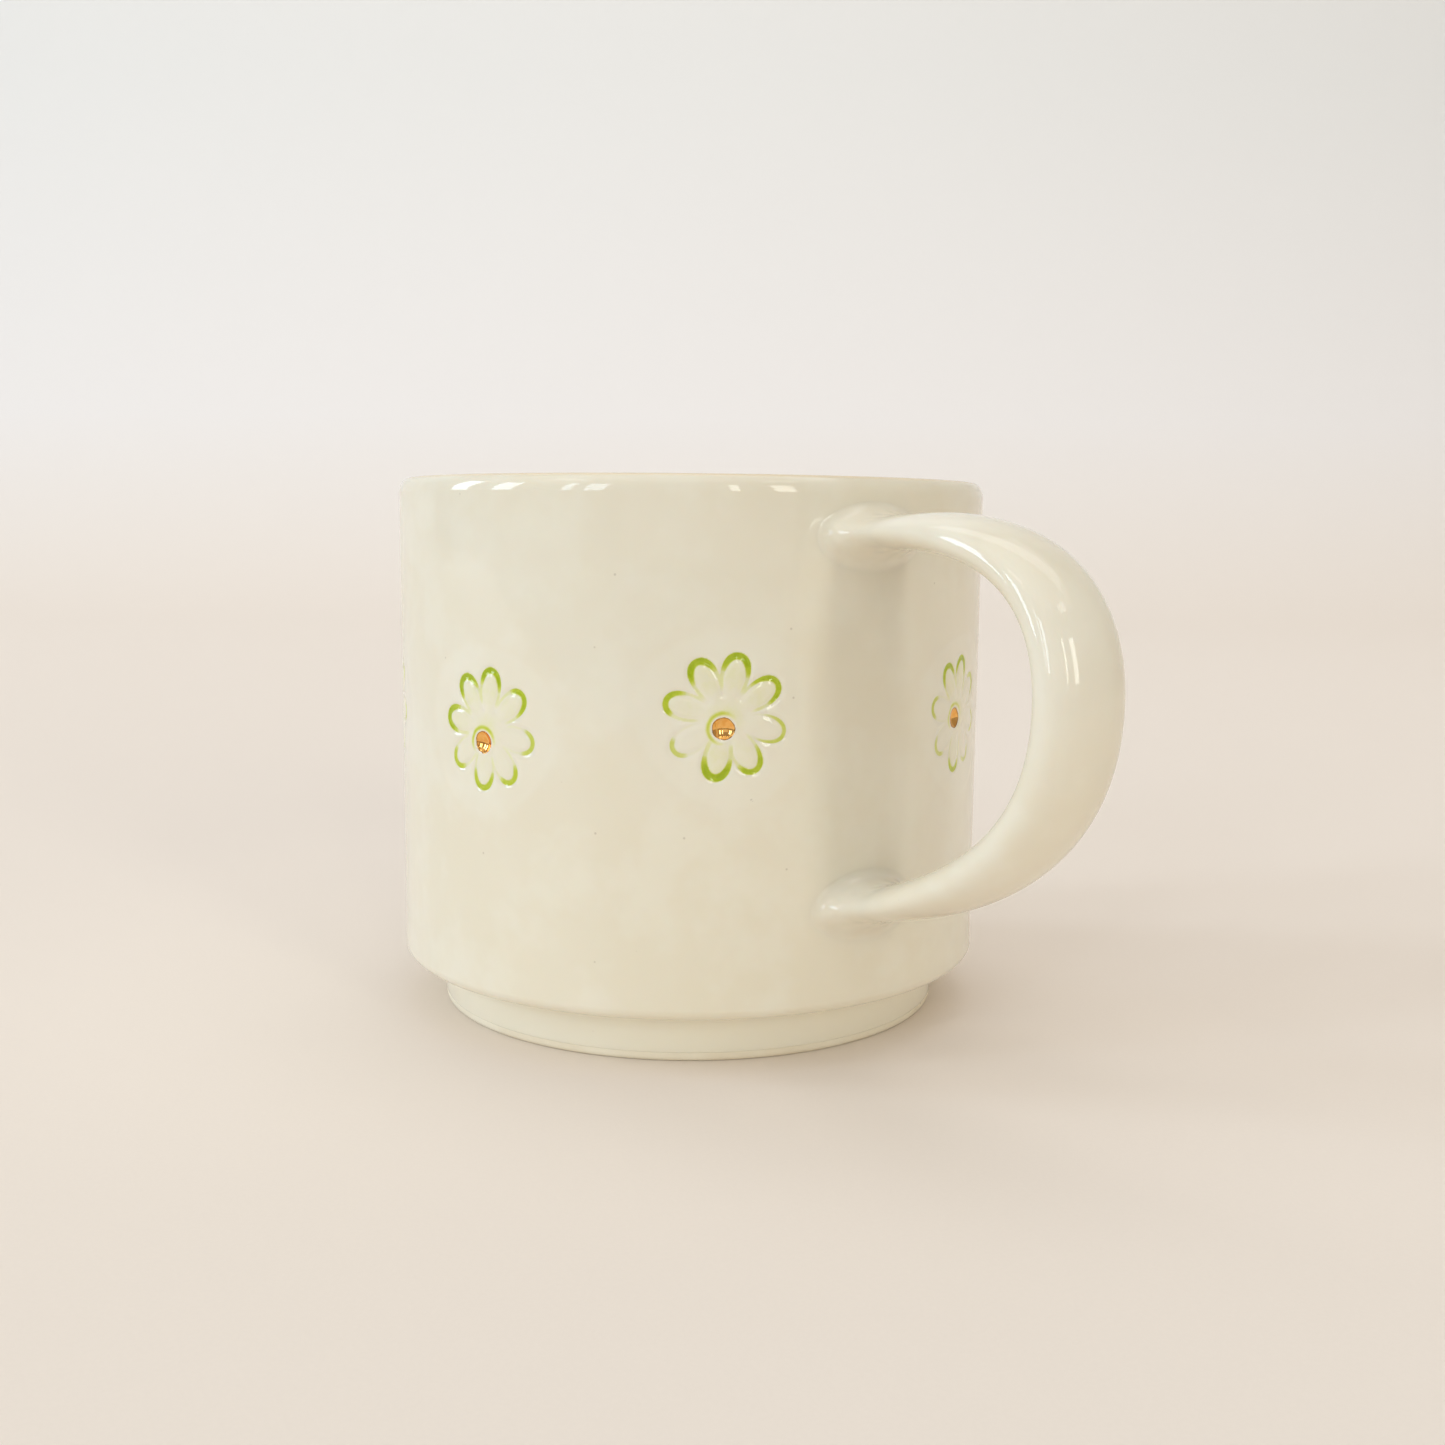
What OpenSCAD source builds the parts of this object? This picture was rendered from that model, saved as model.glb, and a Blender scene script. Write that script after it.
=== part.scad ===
// Glazed stoneware mug: a straight-sided cup on a turned foot ring, a loop handle luted on with
// two flared joints, and a row of stamped flowers with green underglaze lines and gold centres.
// The origin is the centre of the foot ring's bearing face, +Z is up and the handle is on +X.

/* [Cup] */
// Outer diameter over the glaze
cup_d = 88; // [80:0.5:96]
// Height from the table to the top of the lip
cup_h = 78.5; // [72:0.5:88]
// Thickness of the wall, with its glaze
wall_t = 4; // [3.5:0.25:5]
// Height of the cup's floor above the table, inside
floor_z = 8; // [8:0.5:12]
// Radius between the floor and the wall, inside
inside_corner_r = 8; // [6:0.5:12]
// Radius of the lip's outer edge
lip_outer_r = 1.6; // [1:0.1:1.8]
// Radius of the lip's inner edge
lip_inner_r = 1.8; // [1:0.1:2]
// Radius where the wall turns under to the foot
shoulder_r = 1.8; // [1:0.1:4]

/* [Foot ring] */
// Outer diameter of the foot ring
foot_d = 76; // [66:0.5:78]
// Height of the step above the table
foot_h = 7.3; // [5:0.1:7.5]
// Width of the ring that bears on the table
foot_w = 4.5; // [3:0.25:6]
// Radius of the cove between the foot and the step
cove_r = 1.2; // [0.6:0.1:2]
// Radius of the foot's lower edges
foot_edge_r = 0.7; // [0.4:0.1:1]
// Depth of the recess under the floor
recess_h = 2.5; // [1:0.25:3]

/* [Glaze] */
// Thickness of the glaze
glaze_t = 0.3; // [0.2:0.05:0.5]
// Height of the bare clay left at the foot of the glaze
bare_h = 1.2; // [0.8:0.1:3]

/* [Handle] */
// Height of the upper joint's centre
upper_z = 70.7; // [66:0.1:74]
// Rise of the handle as it leaves the upper joint, in degrees
upper_rise = 7.5; // [0:0.5:20]
// How far the upper run keeps its direction
upper_run = 21; // [16:0.5:28]
// Height of the lower joint's centre
lower_z = 21.4; // [18:0.1:28]
// Rise of the handle as it leaves the lower joint, in degrees
lower_rise = 15; // [5:0.5:30]
// How far the lower run keeps its direction
lower_run = 11; // [8:0.5:20]
// Distance from the cup's axis to the handle's centreline where it is widest
handle_reach = 80.6; // [74:0.1:86]
// Height of that widest place
reach_z = 52.2; // [48:0.1:60]
// How far the handle runs straight above the widest place
above_run = 16.5; // [10:0.5:20]
// How far the handle runs straight below the widest place
below_run = 21.8; // [14:0.5:26]
// Half of the handle's thickness at the joints
root_half_t = 1.55; // [1.5:0.05:3]
// Half of the handle's thickness at its widest place
grip_half_t = 3.5; // [3:0.05:5]
// Half of the handle's width at the joints
root_half_w = 5.7; // [5:0.1:8]
// Half of the handle's width at its widest place
grip_half_w = 6; // [5:0.1:9]
// How much the joints flare at the cup's wall
flare = 1.7; // [1:0.1:3]
// How far the joints' flare reaches along the handle
flare_len = 5; // [4:0.25:8]

/* [Flowers] */
// Distance from a flower's centre to a petal's tip
petal_reach = 8.4; // [7:0.1:9]
// Radius of a petal's rounded end, outside the line
petal_r = 2.05; // [1.7:0.05:2.2]
// Radius of the inside of the line at a petal's end
petal_inner_r = 1.6; // [1.2:0.05:1.7]
// Width of the line at a petal's tip
tip_line_w = 1; // [0.7:0.05:1.2]
// Where a petal's two flanks begin, from the flower's centre
petal_start = 2.9; // [2.6:0.1:3.5]
// Half of the distance between the flanks there, outside the lines
petal_start_half_w = 0.85; // [0.7:0.05:1]
// Width of the line on the flanks
flank_line_w = 0.4; // [0.3:0.05:0.5]
// Depth of the stamped lines below the glaze
stamp_depth = 0.8; // [0.6:0.05:1.2]
// Thickness of the green underglaze in the stamped lines
underglaze_t = 0.3; // [0.15:0.05:0.4]
// Radius of a gold centre
dot_r = 1.5; // [1.2:0.05:2]
// Depth of a gold centre's dimple
dot_depth = 0.6; // [0.3:0.05:0.8]
// Thickness of the gold lustre, drawn thicker than the real film so that it is a solid
gold_t = 0.15; // [0.1:0.01:0.3]

/* [Hidden] */
$fn = 180;
clay_colour = "#e9e0c8";
glaze_colour = "#efe8d4";
green_colour = "#9ab82e";
gold_colour = "#b8863a";
cup_r = cup_d / 2;
clay_r = cup_r - glaze_t;
inner_r = cup_r - wall_t;
foot_r = foot_d / 2;
small = 0.01;

// Each flower was stamped by hand, so the places differ a little. A row is one flower: its angle
// round the cup, the height of its centre, its turn, and how far its gold dot lies below the
// centre and to the right of it.
FLOWERS = [
    [27, 45.8, -12, 0.5, -1.2],
    [70.6, 46.4, 6, 1.2, -0.4],
    [114.2, 45.2, -4, 1.6, 0.3],
    [157.9, 46, 14, 0.9, -0.6],
    [201.5, 47.1, 3, 1.8, 0.2],
    [245.1, 45.6, -7, 1.3, -0.3],
    [288.7, 44.7, -9, 1.8, -0.6],
    [333.1, 47.7, -14, 1.5, -0.3],
];
// How far each petal of the stamp is turned from an even spacing, starting from the top one
// and going round to the left
PETAL_TURNS = [2, -2, 0, 2, 3, -2, -2, 2];
PETALS = 8;

// ---- the cup's section, drawn with a coat of thickness coat taken off every glazed face ----

// A slab about the axis whose outer corners are rounded
module slab(r, z0, z1, low_r, high_r) {
    translate([0, z0]) square([r - max(low_r, high_r), z1 - z0]);
    translate([0, z0 + low_r]) square([r, z1 - z0 - low_r - high_r]);
    translate([r - low_r, z0 + low_r]) circle(low_r);
    translate([r - high_r, z1 - high_r]) circle(high_r);
}

// Everything inside the cup's outer face and above the table
module outer_section(coat) {
    foot_side = foot_r - coat;
    step_z = foot_h + coat;
    slab(cup_r - coat, step_z, cup_h - coat, shoulder_r - coat, lip_outer_r - coat);
    slab(foot_side, 0, foot_h + shoulder_r, foot_edge_r, foot_edge_r);
    difference() {
        translate([foot_side - cove_r, step_z - cove_r]) square([2 * cove_r, 2 * cove_r]);
        translate([foot_side + cove_r, step_z - cove_r]) circle(cove_r);
    }
}

// The space inside the cup, carried on above the lip
module inner_section(coat) {
    mouth_r = inner_r + coat;
    lip_z = cup_h - coat;
    lip_r = lip_inner_r - coat;
    slab(mouth_r, floor_z - coat, cup_h + wall_t, inside_corner_r + coat, small);
    difference() {
        translate([mouth_r - lip_r, lip_z - lip_r]) square([2 * lip_r, 2 * lip_r]);
        translate([mouth_r + lip_r, lip_z - lip_r]) circle(lip_r);
    }
}

// The recess under the floor, inside the foot ring
module recess_section() {
    recess_r = foot_r - foot_w;
    translate([0, -1]) square([recess_r, 1 + recess_h]);
    difference() {
        translate([0, -foot_edge_r]) square([recess_r + foot_edge_r, 2 * foot_edge_r]);
        translate([recess_r + foot_edge_r, foot_edge_r]) circle(foot_edge_r);
    }
}

// The clay alone, or with a coat of 0 the cup with its glaze on
module cup_section(coat) {
    difference() {
        outer_section(coat);
        inner_section(coat);
        recess_section();
    }
}

// All the glaze on the cup
module coat_section() {
    difference() {
        cup_section(0);
        cup_section(glaze_t);
        square([cup_r, bare_h]);
    }
}

// The part of the section that was glazed from the inside, up to the middle of the lip
module inside_zone() {
    translate([0, floor_z - 2 * glaze_t]) square([inner_r - inside_corner_r / 2, cup_h]);
    translate([0, floor_z + glaze_t]) square([cup_r - wall_t / 2, cup_h]);
}

// ---- the handle's centreline, in the plane y = 0, and its oval section ----

SIDES = 20;
// Places along each half of the handle, from its joint (0) to the widest place (1). The first
// ones are inside the cup's wall, and the flare of the joint ends at number JOINT_END.
STATIONS = [-0.035, -0.018, -0.006, 0.006, 0.02, 0.035, 0.055, 0.08,
    0.14, 0.22, 0.3, 0.38, 0.46, 0.54, 0.62, 0.7, 0.78, 0.86, 0.93, 1];
JOINT_END = 7;
root_x = cup_r - 0.5;
widest = [handle_reach, reach_z];

function bezier(p, t) =
    pow(1 - t, 3) * p[0] + 3 * pow(1 - t, 2) * t * p[1] + 3 * (1 - t) * t * t * p[2] + pow(t, 3) * p[3];
function bezier_slope(p, t) =
    3 * pow(1 - t, 2) * (p[1] - p[0]) + 6 * (1 - t) * t * (p[2] - p[1]) + 3 * t * t * (p[3] - p[2]);
function unit(v) = v / norm(v);

UPPER = [[root_x, upper_z], [root_x, upper_z] + upper_run * [cos(upper_rise), sin(upper_rise)],
    widest + [0, above_run], widest];
LOWER = [[root_x, lower_z], [root_x, lower_z] + lower_run * [cos(lower_rise), sin(lower_rise)],
    widest - [0, below_run], widest];

// A place on a half, carried straight on into the wall for the places before its joint
function place(half, t) = t < 0 ? half[0] + t * bezier_slope(half, 0) : bezier(half, t);
function direction(half, t) = unit(bezier_slope(half, max(t, 0)));
// How much the joint adds round the handle: most at the wall and nothing at its end
function joint_extra(half, t) =
    let (left = 1 - (place(half, t)[0] - clay_r) / flare_len)
    t >= STATIONS[JOINT_END] ? 0 : flare * pow(max(left, 0), 2);
function half_t(t) = root_half_t + (grip_half_t - root_half_t) * sin(90 * max(t, 0));
function half_w(t) = root_half_w + (grip_half_w - root_half_w) * sin(90 * max(t, 0));

// One ring of points round a half at t, more outside the clay of the handle. The first point is
// on the outside of the loop, and turn is 1 on the upper half and -1 on the lower half.
function ring(half, turn, t, more) =
    let (p = place(half, t), d = direction(half, t), out = turn * [-d[1], d[0]])
    [for (i = [0:SIDES - 1]) let (
        a = 360 * i / SIDES,
        across = (half_w(t) + more) * sin(a),
        q = p + (half_t(t) + more) * cos(a) * out)
        [q[0], across, q[1]]];

// How far outside the handle's clay a ring lies, with a coat of glaze and with the joints
function extra(half, t, coat, with_joint) = coat + (with_joint ? joint_extra(half, t) : 0);
// The rings from a joint outwards to station number last
function joint_rings(half, turn, coat, with_joint, last) = [for (i = [0:last])
    ring(half, turn, STATIONS[i], extra(half, STATIONS[i], coat, with_joint))];
function reversed(list) = [for (i = [len(list) - 1:-1:0]) list[i]];
// The rings of the whole handle, from the upper joint round to the lower one
function loop_rings(coat, with_joint) = concat(
    joint_rings(UPPER, 1, coat, with_joint, len(STATIONS) - 1),
    reversed(joint_rings(LOWER, -1, coat, with_joint, len(STATIONS) - 2)));

function flat(lists) = [for (list = lists) for (item = list) item];
// Two triangles for each cell between the ring that starts at point a and the one at point b
function band(a, b) = flat([for (i = [0:SIDES - 1]) let (j = (i + 1) % SIDES)
    [[a + i, b + j, b + i], [a + i, a + j, b + j]]]);
function flipped(faces) = [for (f = faces) [f[2], f[1], f[0]]];

// A solid bar through rings, closed flat at both ends
module bar(rings) {
    last = (len(rings) - 1) * SIDES;
    sides = flat([for (k = [0:len(rings) - 2]) band(k * SIDES, (k + 1) * SIDES)]);
    near_end = [for (i = [SIDES - 1:-1:0]) i];
    far_end = [for (i = [0:SIDES - 1]) last + i];
    polyhedron(flat(rings), concat(sides, [near_end, far_end]));
}

// A sleeve between an inner and an outer list of rings. Where the first or last ring of the outer
// list is left out, the sleeve runs out to nothing on the inner one.
module sleeve(inner, outer, sharp_start = false, sharp_end = false) {
    count = len(inner);
    shift = sharp_start ? 1 : 0;
    in_at = [for (k = [0:count - 1]) k * SIDES];
    out_at = [for (k = [0:count - 1])
        (sharp_start && k == 0) || (sharp_end && k == count - 1) ? in_at[k] : (count + k - shift) * SIDES];
    polyhedron(flat(concat(inner, outer)), concat(
        flat([for (k = [0:count - 2]) flipped(band(in_at[k], in_at[k + 1]))]),
        flat([for (k = [0:count - 2]) band(out_at[k], out_at[k + 1])]),
        sharp_start ? [] : band(in_at[0], out_at[0]),
        sharp_end ? [] : band(out_at[count - 1], in_at[count - 1])));
}

// The round of the cup's clay wall, taken off whatever is joined to it
module clay_wall() {
    cylinder(r = clay_r, h = cup_h + 2 * wall_t);
}

// What the handle, its joints and their glaze fill near the wall
module joint_seats() {
    bar(joint_rings(UPPER, 1, glaze_t, true, JOINT_END + 1));
    bar(reversed(joint_rings(LOWER, -1, glaze_t, true, JOINT_END + 1)));
}

// ---- one flower's stamp, set out on the wall ----

// Carries a flat drawing, x round the cup and y up, out along the radius at an angle and height
module on_wall(angle, z, from_r) {
    rotate([0, 0, angle]) translate([from_r, 0, z]) rotate([90, 0, 90]) children();
}

// A petal with a round end of radius r at reach, whose flanks start at half_w, from_y up
module petal_shape(r, reach, half_w, from_y) {
    rise = reach - r - from_y;
    span = norm([half_w, rise]);
    lean = atan2(rise, -half_w) - asin(r / span);
    touch = [half_w, from_y] + sqrt(span * span - r * r) * [cos(lean), sin(lean)];
    translate([0, reach - r]) circle(r);
    polygon([[half_w, from_y], touch, [-touch[0], touch[1]], [-half_w, from_y]]);
}

// The outline of one petal: a line that is widest at the tip and open at the flower's centre
module petal_line() {
    inner_start = petal_start - small;
    difference() {
        petal_shape(petal_r, petal_reach, petal_start_half_w, petal_start);
        petal_shape(petal_inner_r, petal_reach - tip_line_w,
            petal_start_half_w - flank_line_w, inner_start);
    }
}

// The angle round the cup at which a flower's gold centre lies
function dot_angle(row) = row[0] + row[4] / cup_r * 180 / PI;

// The lines of a whole flower as upright bars, kept clear of its gold centre
module flower_lines(row) {
    depth = wall_t - 1;
    difference() {
        for (i = [0:PETALS - 1])
            on_wall(row[0], row[1], cup_r - depth)
                rotate([0, 0, row[2] + 360 / PETALS * i + PETAL_TURNS[i]])
                    linear_extrude(height = depth + 1) petal_line();
        on_wall(dot_angle(row), row[1] - row[3], cup_r - depth - 1)
            cylinder(r = dot_r + flank_line_w / 2, h = depth + 3);
    }
}

// The ball that presses a flower's gold centre
ball_r = (dot_r * dot_r + dot_depth * dot_depth) / (2 * dot_depth);
module dot_ball(row, r) {
    rotate([0, 0, dot_angle(row)])
        translate([cup_r + ball_r - dot_depth, 0, row[1] - row[3]]) sphere(r);
}

// Everything that the stamps press out of the wall
stamp_r = cup_r - stamp_depth;
module stamps() {
    difference() {
        for (row = FLOWERS) flower_lines(row);
        cylinder(r = stamp_r, h = cup_h);
    }
    for (row = FLOWERS) dot_ball(row, ball_r);
}

// ---- pieces ----

// The clay cup: wall, floor and foot ring, thrown and turned in one piece
module cup_body() {
    color(clay_colour) difference() {
        rotate_extrude() cup_section(glaze_t);
        stamps();
    }
}

// The clear glaze outside, from above the foot's bare edge to the middle of the lip
module outside_glaze() {
    color(glaze_colour) difference() {
        rotate_extrude() difference() {
            coat_section();
            inside_zone();
        }
        stamps();
        joint_seats();
    }
}

// The liner glaze, from the middle of the lip down over the floor
module inside_glaze() {
    color(glaze_colour) rotate_extrude() intersection() {
        coat_section();
        inside_zone();
    }
}

// The pulled clay strap
module handle() {
    color(clay_colour) difference() {
        bar(loop_rings(0, false));
        clay_wall();
    }
}

// The slip and clay worked smooth round the handle's upper end
module upper_handle_joint() {
    color(clay_colour) difference() {
        sleeve(joint_rings(UPPER, 1, 0, false, JOINT_END),
            joint_rings(UPPER, 1, 0, true, JOINT_END - 1), sharp_end = true);
        clay_wall();
    }
}

// The same round its lower end
module lower_handle_joint() {
    color(clay_colour) difference() {
        sleeve(reversed(joint_rings(LOWER, -1, 0, false, JOINT_END)),
            reversed(joint_rings(LOWER, -1, 0, true, JOINT_END - 1)), sharp_start = true);
        clay_wall();
    }
}

// The glaze on the handle and over its joints
module handle_glaze() {
    color(glaze_colour) difference() {
        sleeve(loop_rings(0, true), loop_rings(glaze_t, true));
        clay_wall();
    }
}

// The green in the bottom of a flower's stamped lines
module underglaze(row) {
    color(green_colour) intersection() {
        flower_lines(row);
        difference() {
            cylinder(r = stamp_r + underglaze_t, h = cup_h);
            cylinder(r = stamp_r, h = cup_h);
        }
    }
}

// The gold lustre that lines the dimple at a flower's centre
module gold_centre(row) {
    color(gold_colour) intersection() {
        difference() {
            dot_ball(row, ball_r);
            dot_ball(row, ball_r - gold_t);
        }
        cylinder(r = cup_r, h = cup_h);
    }
}

cup_body();
outside_glaze();
inside_glaze();
handle();
upper_handle_joint();
lower_handle_joint();
handle_glaze();
underglaze(FLOWERS[0]);  // flower_1_underglaze
underglaze(FLOWERS[1]);  // flower_2_underglaze
underglaze(FLOWERS[2]);  // flower_3_underglaze
underglaze(FLOWERS[3]);  // flower_4_underglaze
underglaze(FLOWERS[4]);  // flower_5_underglaze
underglaze(FLOWERS[5]);  // flower_6_underglaze
underglaze(FLOWERS[6]);  // flower_7_underglaze
underglaze(FLOWERS[7]);  // flower_8_underglaze
gold_centre(FLOWERS[0]);  // flower_1_gold
gold_centre(FLOWERS[1]);  // flower_2_gold
gold_centre(FLOWERS[2]);  // flower_3_gold
gold_centre(FLOWERS[3]);  // flower_4_gold
gold_centre(FLOWERS[4]);  // flower_5_gold
gold_centre(FLOWERS[5]);  // flower_6_gold
gold_centre(FLOWERS[6]);  // flower_7_gold
gold_centre(FLOWERS[7]);  // flower_8_gold
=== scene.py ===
import math

import bpy
import numpy as np
from mathutils import Matrix, Vector, noise


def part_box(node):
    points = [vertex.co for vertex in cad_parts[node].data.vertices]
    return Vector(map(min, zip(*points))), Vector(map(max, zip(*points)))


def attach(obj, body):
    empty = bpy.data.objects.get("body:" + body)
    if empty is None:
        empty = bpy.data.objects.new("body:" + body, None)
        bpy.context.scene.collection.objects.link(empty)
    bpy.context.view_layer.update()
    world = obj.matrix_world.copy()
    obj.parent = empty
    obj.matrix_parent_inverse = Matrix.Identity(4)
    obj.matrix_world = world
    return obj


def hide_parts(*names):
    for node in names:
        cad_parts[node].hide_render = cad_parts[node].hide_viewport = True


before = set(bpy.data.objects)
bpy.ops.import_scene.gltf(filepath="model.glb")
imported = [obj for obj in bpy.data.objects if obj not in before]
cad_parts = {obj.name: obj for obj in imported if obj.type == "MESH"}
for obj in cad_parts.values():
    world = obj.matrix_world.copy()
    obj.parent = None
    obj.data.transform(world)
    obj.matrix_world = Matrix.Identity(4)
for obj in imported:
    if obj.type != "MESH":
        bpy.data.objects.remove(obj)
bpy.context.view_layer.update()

# Shapes are worked out in millimetres, and MM turns them into metres.
MM = 0.001
rng = np.random.default_rng(11)

# ---- sizes: the outer ones come from the frame, the others repeat the CAD model's ----
coat_low, coat_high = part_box("outside_glaze")
loop_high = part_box("handle_glaze")[1]
CUP_R = min(-coat_low.x, -coat_low.y, coat_high.y) / MM
CUP_H = coat_high.z / MM
HANDLE_REACH = loop_high.x / MM
WALL_T = 4.0
INNER_R = CUP_R - WALL_T
FLOOR_Z = 8.0
INSIDE_CORNER_R = 8.0
LIP_OUTER_R = 1.6
LIP_TALL = 2.4
LIP_INNER_R = 1.8
# The middle of the lip, where the outside and the inside coats meet
LIP_R = (CUP_R - LIP_OUTER_R + INNER_R + LIP_INNER_R) / 2
SHOULDER_R = 1.8
FOOT_R = 38.0
FOOT_H = 7.3
FOOT_W = 4.5
COVE_R = 1.2
FOOT_EDGE_R = 0.7
RECESS_H = 2.5
GLAZE_T = 0.3
BARE_H = 1.2
# Behind the stamps the coat is thick enough to hold them.
STAMPED_COAT_T = 1.0
# Space left between the clay and the coats, so that their skins don't touch
CLEARANCE = 0.05

# The handle's line runs out from the wall at two roots and meets at its widest point.
ROOT_X = CUP_R - 0.5
UPPER_Z, UPPER_RISE, UPPER_RUN = 70.7, 7.5, 21.0
LOWER_Z, LOWER_RISE, LOWER_RUN = 21.4, 15.0, 11.0
REACH_Z, ABOVE_RUN, BELOW_RUN = 52.2, 16.5, 21.8
ROOT_HALF_T, GRIP_HALF_T = 1.85, 3.8
ROOT_HALF_W, GRIP_HALF_W = 6.0, 6.3
# How far a joint swells beyond the handle at the wall, and how far along the handle it reaches.
JOINT_SWELL = 2.9
JOINT_RUN = 6.5
# How far the joints reach into the wall, so that no gap shows round them.
JOINT_SINK = 0.7
# Depth and size of the finger marks in the joints.
MARK_DEPTH = 0.09
MARK_SIZE = 2.0


# ---- meshes ----
def new_object(name, points_mm, faces, values=None, normals=None):
    """An object from points in millimetres and a list of arrays of faces with 3 or 4 corners.
    values are numbers kept at the points, and normals are (point numbers, directions)."""
    mesh = bpy.data.meshes.new(name)
    points = np.asarray(points_mm, float) * MM
    corners = np.concatenate([f.ravel() for f in faces]).astype(np.int32)
    sizes = np.concatenate([np.full(len(f), f.shape[1]) for f in faces])
    starts = np.concatenate([[0], np.cumsum(sizes)[:-1]]).astype(np.int32)
    mesh.vertices.add(len(points))
    mesh.vertices.foreach_set("co", points.ravel())
    mesh.loops.add(len(corners))
    mesh.loops.foreach_set("vertex_index", corners)
    mesh.polygons.add(len(sizes))
    mesh.polygons.foreach_set("loop_start", starts)
    mesh.polygons.foreach_set("use_smooth", np.ones(len(sizes), bool))
    mesh.update(calc_edges=True)
    for key, numbers in (values or {}).items():
        layer = mesh.attributes.new(key, "FLOAT", "POINT")
        layer.data.foreach_set("value", np.asarray(numbers, np.float32).ravel())
    if normals is not None:
        fixed = np.zeros((len(points), 3))
        fixed[normals[0]] = normals[1]
        mesh.normals_split_custom_set_from_vertices(fixed.tolist())
    obj = bpy.data.objects.new(name, mesh)
    bpy.context.scene.collection.objects.link(obj)
    return obj


def cells(rows, columns, first=0, closed=False):
    """The quads between the rows of a grid of points whose columns run round and close."""
    i = np.arange(rows if closed else rows - 1)[:, None]
    j = np.arange(columns)[None, :]
    k = (j + 1) % columns
    a = i * columns
    b = (i + 1) % rows * columns
    return np.stack([a + j, a + k, b + k, b + j], -1).reshape(-1, 4) + first


def fan(centre, ring, flip=False):
    """Triangles from a centre point to a ring of points."""
    after = np.roll(ring, -1)
    middle = np.full(len(ring), centre)
    return np.stack([middle, after, ring] if flip else [middle, ring, after], -1)


def arc(centre_r, centre_z, radius, start, end, steps):
    """(r, z) points on an arc, in degrees, both ends included."""
    t = np.radians(np.linspace(start, end, steps + 1))
    return [(centre_r + radius * math.cos(x), centre_z + radius * math.sin(x)) for x in t]


def line(a, b, steps):
    """(r, z) points on a straight line, without its two ends."""
    parts = np.linspace(0, 1, steps + 1)[1:-1]
    return [(a[0] + (b[0] - a[0]) * t, a[1] + (b[1] - a[1]) * t) for t in parts]


def smooth(low, high, x):
    """0 at low and 1 at high, with an even start and end between them."""
    t = np.clip((x - low) / (high - low), 0, 1)
    return t * t * (3 - 2 * t)


def polar(r, angle, z):
    """Points at a distance from the mug's axis, an angle round it and a height."""
    return np.stack([r * np.cos(angle), r * np.sin(angle), z], -1)


# ---- the stamped flowers ----
PETALS = 8
# One side of a petal's line, from its tip to the end of its flank, as a Bezier curve (x, y) with
# y pointing away from the flower's middle.
PETAL_BEZIER = np.array([(0, 8.0), (1.6, 8.0), (2.25, 5.4), (1.05, 2.8)])
PETAL_STEPS = 20
# How far from a petal's line the stamp and the paint have any effect.
PETAL_NEAR = 1.8
# The pressed line: its depth with no paint, what full paint adds, and its half width
PRESS_DEPTH, PRESS_MORE, PRESS_HALF_W = 0.12, 0.1, 0.55
# Green left on the flanks beyond the brush stroke, and the thin wash inside a petal
FAINT_GREEN, WASH_GREEN = 0.16, 0.075
# The gold centre: its radius, the radius of the ball that pressed it, and how its edge is eased
DOT_R, DOT_BALL_R, DOT_EASE = 1.52, 2.05, 0.035
# The green ring round the gold: how far outside its edge, and its half width
RING_OUT, RING_HALF_W = 0.5, 0.22
# The pale green cloud at a flower's middle
CORE_GREEN, CORE_R = 0.1, 2.8
# The smoothed round of a flower: its radius, its soft edge, and how far its outline wanders
HALO_R, HALO_EDGE, HALO_WOBBLE = 12.2, 1.2, 0.5

# turn of the first petal, drop and shift of the gold centre from the middle of the flower, and
# the green ring round the gold: its strength, and the direction it is strongest in
STAMPS = {
    1: (-12, 0.5, -1.2, 0.3, 120), 2: (6, 1.2, -0.4, 0.4, 200), 3: (-4, 1.6, 0.3, 0.5, 40),
    4: (14, 0.9, -0.6, 0.3, 300), 5: (3, 1.8, 0.2, 0.5, 160), 6: (-7, 1.3, -0.3, 0.4, 80),
    7: (-9, 1.8, -0.6, 0.6, 110), 8: (-14, 1.5, -0.3, 0.5, 160),
}
PETAL_TURNS = [2, -2, 0, 2, 3, -2, -2, 2]

# How strongly each petal of the front flowers took the paint, counter-clockwise from the top:
# strength, width of the line at the tip, and how far it runs down the left and the right flank.
PAINT = {
    8: [(1.0, 0.85, 0.62, 0.66), (0.95, 0.85, 0.66, 0.6), (0.8, 0.7, 0.4, 0.62), (0.35, 0.6, 0.4, 0.35),
        (1.0, 0.95, 0.7, 0.66), (0.8, 0.7, 0.75, 0.5), (0.42, 0.5, 0.8, 0.85), (0.95, 0.7, 0.8, 0.66)],
    7: [(1.0, 0.8, 0.6, 0.7), (1.0, 0.85, 0.62, 0.66), (0.95, 0.85, 0.6, 0.62), (0.6, 0.7, 0.45, 0.45),
        (0.7, 0.75, 0.65, 0.65), (0.6, 0.7, 0.5, 0.45), (0.45, 0.6, 0.5, 0.5), (0.85, 0.7, 0.45, 0.7)],
    1: [(0.9, 0.75, 0.65, 0.65), (0.9, 0.75, 0.65, 0.65), (0.4, 0.6, 0.45, 0.45), (0.3, 0.6, 0.45, 0.45),
        (0.65, 0.7, 0.5, 0.5), (0.3, 0.6, 0.45, 0.45), (0.35, 0.6, 0.45, 0.45), (0.5, 0.7, 0.5, 0.5)],
}


def random_paint():
    """The paint of a flower that is never seen from the front."""
    rows = []
    for _ in range(PETALS):
        strength = rng.uniform(0.35, 1.0)
        rows.append((strength, 0.55 + 0.3 * strength, rng.uniform(0.4, 0.7), rng.uniform(0.4, 0.7)))
    return rows


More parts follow.
